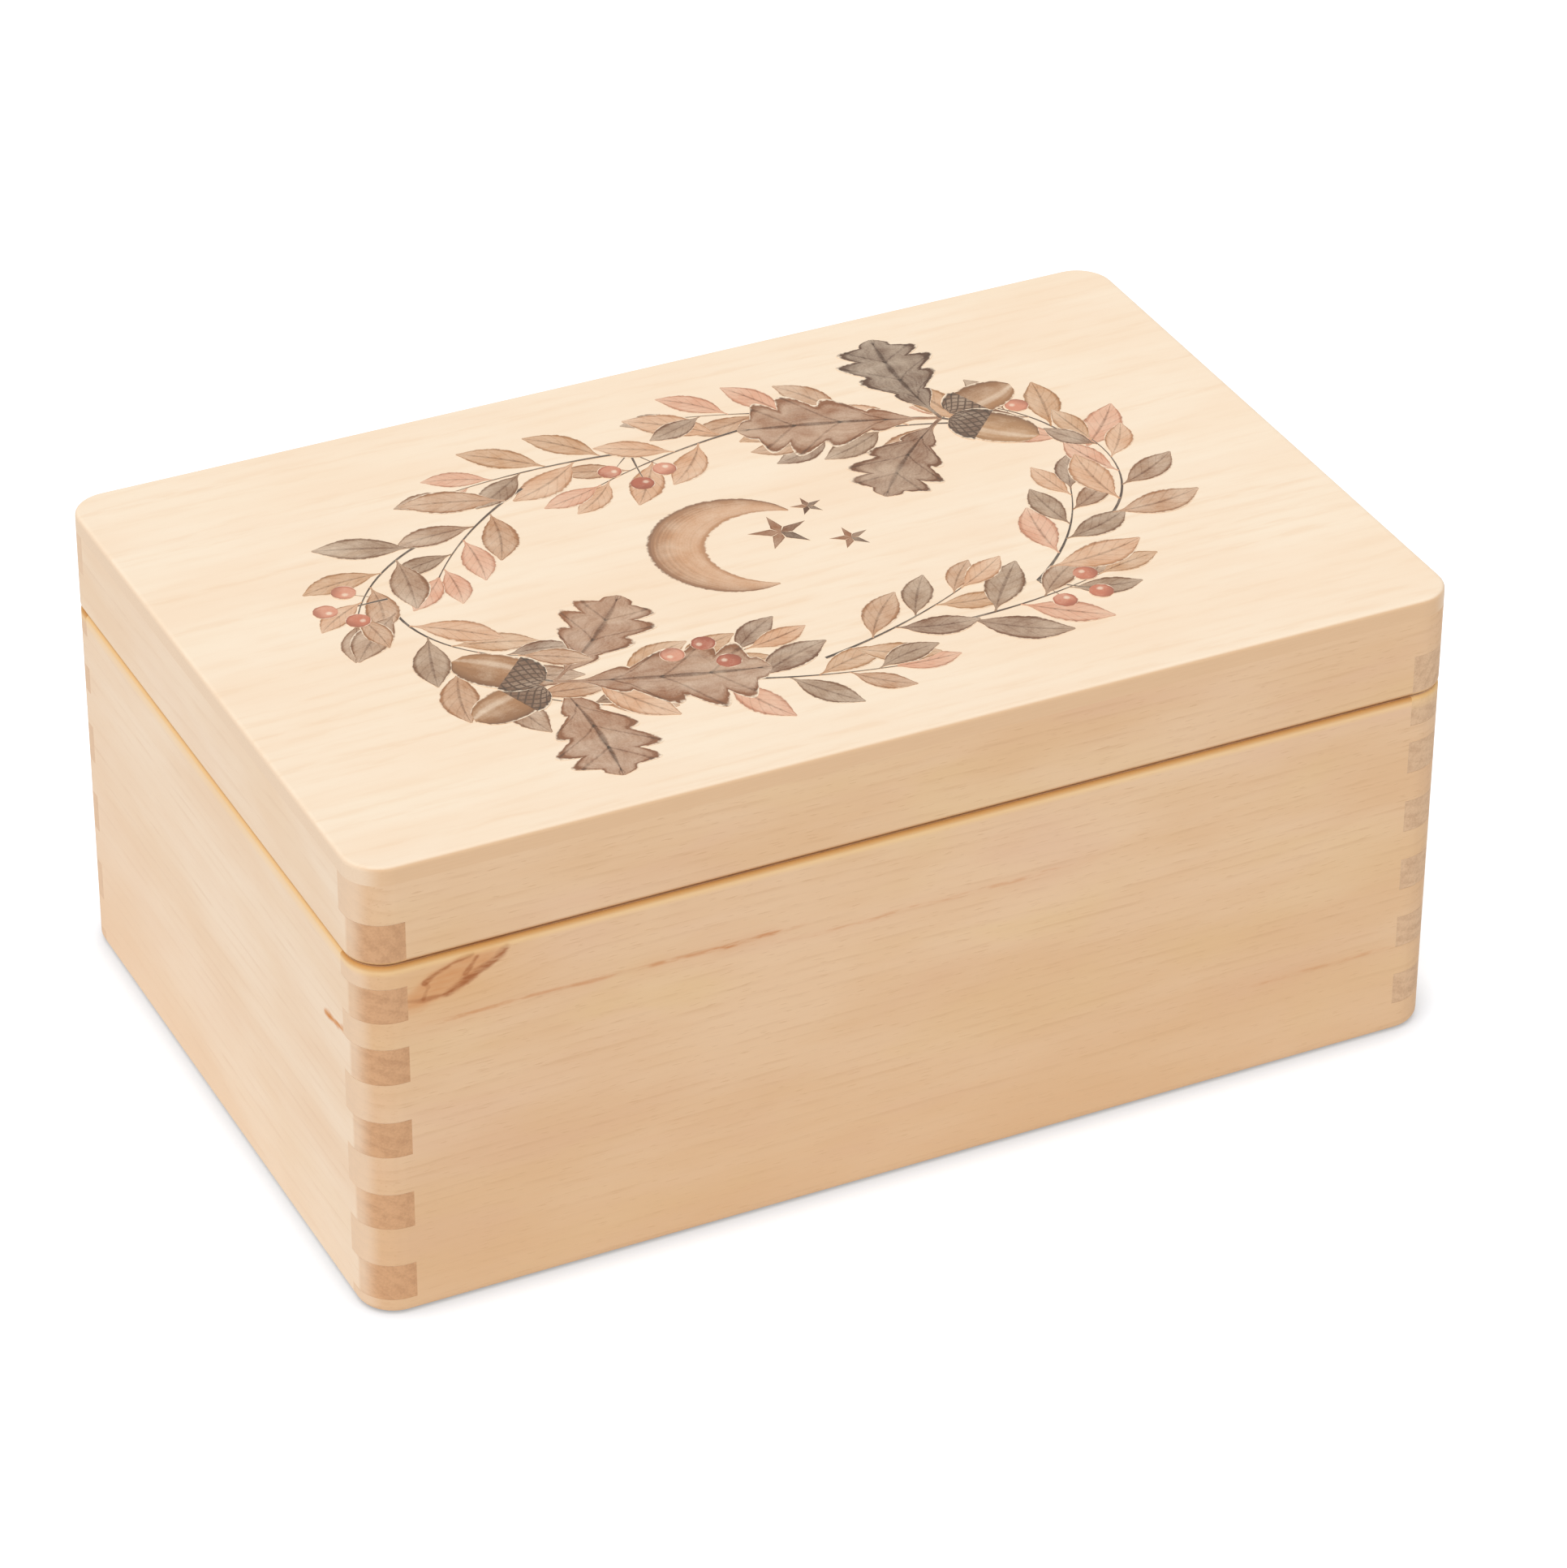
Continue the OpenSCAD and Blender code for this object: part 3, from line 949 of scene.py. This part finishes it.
def arc_point(x, y, angle, length, bend, part):
    """A point on a bent stroke, part of the way along it, and the heading there."""
    turned = math.radians(bend if abs(bend) >= LEAST_BEND else LEAST_BEND) * part
    chord = length * part * math.sin(turned / 2) / (turned / 2)
    point_x, point_y = ahead(x, y, angle + math.degrees(turned / 2), chord)
    return point_x, point_y, angle + bend * part


def lay_twig(layers, chance, x, y, angle, length, bend):
    """A twig with leaves on both sides, which get smaller towards its tip."""
    layers["twigs"].put(x, y, angle, length, bend)
    for n in range(TWIG_LEAVES):
        part = (n + 1.0) / (TWIG_LEAVES + 0.6)
        side = 1 if n % 2 else -1
        leaf_x, leaf_y, heading = arc_point(x, y, angle, length, bend, part)
        stray = chance.uniform(-LEAF_SPREAD_CHANCE, LEAF_SPREAD_CHANCE)
        spread = side * (LEAF_SPREAD - LEAF_SPREAD_LOSS * part + stray)
        leaf = LEAF_LENGTH * (1.08 - 0.4 * part) * chance.uniform(0.9, 1.1)
        curl = -side * chance.uniform(*LEAF_CURL)
        layers["leaves"].put(leaf_x, leaf_y, heading + spread, leaf, curl)
    tip_x, tip_y, heading = arc_point(x, y, angle, length, bend, 0.97)
    curl = chance.uniform(-TIP_CURL, TIP_CURL)
    layers["leaves"].put(tip_x, tip_y, heading, LEAF_LENGTH * 0.75, curl)


def lay_berries(layers, x, y, angle):
    """Berries on short stalks."""
    for spread, reach in STALKS:
        layers["twigs"].put(x, y, angle + spread, reach, bend=6, width=3)
        root_x, root_y = ahead(x, y, angle + spread, reach - BERRY_SIZE * 0.1)
        layers["berries"].put(root_x, root_y, angle + spread, BERRY_SIZE)


def lay_acorn(layers, x, y, angle, size):
    """A nut with its cap, on a short stalk that points back."""
    layers["twigs"].put(x, y, angle + 180, size * 0.55, bend=24, width=4)
    layers["nuts"].put(x, y, angle, size)
    root_x, root_y = ahead(x, y, angle, size * 0.34)
    layers["caps"].put(root_x, root_y, angle + 180, size * 0.42)


def lay_spray(layers, x, y, angle):
    """Oak leaves with acorns before them."""
    for spread, length, bend in OAK_LEAVES:
        layers["oak_leaves"].put(x, y, angle + spread, length, bend)
    for spread, away, size in ACORNS:
        root_x, root_y = ahead(x, y, angle + spread, away)
        lay_acorn(layers, root_x, root_y, angle + spread, size)


def lay_moon(layers):
    """A crescent with stars in its hollow."""
    radius = MOON_LENGTH / math.radians(MOON_TURN)
    root_x, root_y = ahead(0, 0, MOON_HEADING - 90, radius)
    layers["moon"].put(root_x, root_y, MOON_HEADING, MOON_LENGTH, MOON_TURN)
    for x, y, size in STARS:
        for ray in range(STAR_RAYS):
            layers["stars"].put(x, y, 90 + 360 / STAR_RAYS * ray, size)


def lay_wreath(layers):
    chance = random.Random(WREATH_SEED)
    turns = even_turns(TWIGS)
    for n in range(TWIGS):
        x, y, heading = wreath_point(turns[n])
        later_x, later_y, later_heading = wreath_point(turns[n + 1])
        bend = (later_heading - heading + 180) % 360 - 180
        length = TWIG_REACH * math.dist((x, y), (later_x, later_y))
        side = 1 if n % 2 else -1
        lay_twig(layers, chance, x, y, heading + TWIG_LEAN * side, length, bend * TWIG_REACH)
        if n % 3 == 1:
            lay_berries(layers, x, y, heading - BERRY_LEAN * side)
    for turn in SPRAY_TURNS:
        x, y, heading = wreath_point(turn)
        lay_spray(layers, x, y, heading + SPRAY_LEAN)


def lay_print():
    """Each layer is a stencil: its flat shape, and how high it lies over the others."""
    layers = {
        "twigs": Stencil(flat_shape("twig", 16, twig_outline), 0),
        "leaves": Stencil(flat_shape("leaf", 16, leaf_outline, sweep=0.3), 0),
        "oak_leaves": Stencil(flat_shape("oak leaf", 48, oak_outline, sweep=0.45), 1),
        "nuts": Stencil(flat_shape("nut", 14, nut_outline), 2),
        "caps": Stencil(flat_shape("cap", 10, cap_outline), 3),
        "berries": Stencil(flat_shape("berry", 12, berry_outline), 2),
        "moon": Stencil(flat_shape("moon", 48, moon_outline), 0),
        "stars": Stencil(flat_shape("ray", 10, ray_outline), 0),
    }
    lay_wreath(layers)
    lay_moon(layers)
    inks = {
        "twigs": twig_ink(),
        "leaves": leaf_ink(),
        "oak_leaves": oak_ink(),
        "nuts": nut_ink(),
        "caps": cap_ink(),
        "berries": berry_ink(),
        "moon": moon_ink(),
        "stars": star_ink(),
    }
    for name, layer in layers.items():
        layer.print_on_lid("print_" + name, inks[name])


# ---- Hinges ----

HINGE_BRASS = tone(214, 176, 108)
SCREW_BRASS = tone(202, 162, 96)
TARNISH = tone(120, 88, 44)
BRUSH_DEPTH = 0.00002


def brass(name, colour, roughness):
    """Brass brushed along X, with clouds of tarnish."""
    finish = Finish(name)
    x, y, z = finish.place()
    brushed = finish.noise(x / 6, y / 0.3, z / 0.3)
    cloud = finish.noise(x / 7, y / 7, z / 7, detail=3.0)
    shade = finish.mix(cloud.rise(0.3, 0.75) * 0.3, colour, TARNISH)
    uneven = roughness + (brushed - 0.5) * 0.2 + cloud * 0.1
    return finish.surface(shade, uneven, brushed, BRUSH_DEPTH, {"Metallic": 1.0})


def dress_hinges():
    hinge = brass("hinge brass", HINGE_BRASS, 0.3)
    screw = brass("screw brass", SCREW_BRASS, 0.36)
    for name, piece in nodes.items():
        if "hinge_screws" in name:
            piece.data.materials[0] = screw
        elif "hinge" in name:
            piece.data.materials[0] = hinge


# ---- Studio ----

WORLD_LEVEL = 0.58
SUN_STRENGTH = 1.43
SUN_FROM = Vector((-0.36, -0.24, 0.90))
SUN_WIDTH = math.radians(50)
FLOOR_SIZE = 12
FLOOR_TONE = tone(246, 246, 246)
FLOOR_SEEN = tone(240, 244, 250)
FLOOR_GLOW = 0.4
CONTACT_REACH = 0.012
CONTACT_SAMPLES = 16


def add_floor():
    """A pale floor that the camera sees as white, apart from the shadow of the box."""
    bpy.ops.mesh.primitive_plane_add(size=FLOOR_SIZE, location=(0, 0, 0))
    floor = bpy.context.object
    floor.name = "floor"
    finish = Finish("pale floor")
    seen = Level(finish, finish.make("LightPath").outputs["Is Camera Ray"])
    matt = finish.add("BsdfDiffuse", inputs={"Color": FLOOR_TONE})
    close = {"Color": FLOOR_SEEN, "Distance": CONTACT_REACH}
    contact = finish.add("AmbientOcclusion", {"samples": CONTACT_SAMPLES}, close)
    pale = finish.add("BsdfDiffuse", inputs={"Color": contact})
    glow = finish.add("Emission", inputs={"Color": WHITE, "Strength": FLOOR_GLOW})
    both = finish.add("AddShader", inputs={0: pale, 1: glow})
    mixed = finish.add("MixShader", inputs={0: seen, 1: matt, 2: both})
    finish.make("OutputMaterial", inputs={"Surface": mixed})
    floor.data.materials.append(finish.material)


def add_light():
    turn = SUN_FROM.to_track_quat("Z", "Y").to_euler()
    bpy.ops.object.light_add(type="SUN", location=SUN_FROM, rotation=turn)
    sun = bpy.context.object
    sun.data.angle = SUN_WIDTH
    sun.data.energy = SUN_STRENGTH


def add_world():
    """Soft light from all sides. The camera and bright metal see it as white."""
    world = bpy.context.scene.world or bpy.data.worlds.new("world")
    bpy.context.scene.world = world
    world.use_nodes = True
    sky = Shading(world.node_tree)
    rays = sky.make("LightPath")
    mirrored = Level(sky, rays.outputs["Is Glossy Ray"])
    seen = Level(sky, rays.outputs["Is Camera Ray"]).most(mirrored)
    lit = sky.add("Background", inputs={"Color": WHITE, "Strength": WORLD_LEVEL})
    white = sky.add("Background", inputs={"Color": WHITE, "Strength": 1.0})
    mixed = sky.add("MixShader", inputs={0: seen, 1: lit, 2: white})
    sky.make("OutputWorld", inputs={"Surface": mixed})


add_camera()
dress_boards()
lay_print()
dress_hinges()
add_floor()
add_light()
add_world()
bpy.context.scene.view_settings.view_transform = "Standard"
